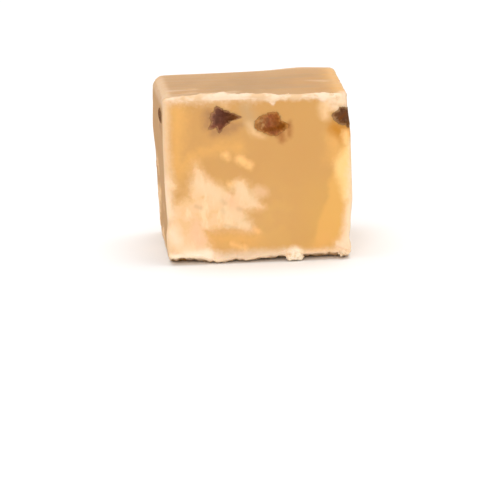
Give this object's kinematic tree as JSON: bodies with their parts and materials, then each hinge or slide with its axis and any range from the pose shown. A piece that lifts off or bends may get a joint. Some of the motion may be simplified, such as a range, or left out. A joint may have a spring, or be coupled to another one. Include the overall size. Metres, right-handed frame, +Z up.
{
  "type": "raisin fudge cube",
  "caption": "Hand-cut cube of pale caramel fudge with raisins cut flush in its sides, a crumbly sugar lip round its edges and a flat base.",
  "frame": {"origin": "middle of the flat base, on the surface it stands on", "axes": "+Z up through the thickness of the slab, +Y towards the back, +X to the right as seen from the front"},
  "size_m": [0.0314, 0.031, 0.028],
  "materials": {
    "fudge": "satin",
    "raisin": "semi-gloss"
  },
  "bodies": {
    "root": {"fudge_block": "fudge", "raisin_front_left": "raisin", "raisin_front_middle": "raisin", "raisin_right_edge": "raisin", "raisin_left_side": "raisin", "raisin_right_side": "raisin", "raisin_back_left": "raisin", "raisin_back_right": "raisin"}
  },
  "joints": []
}
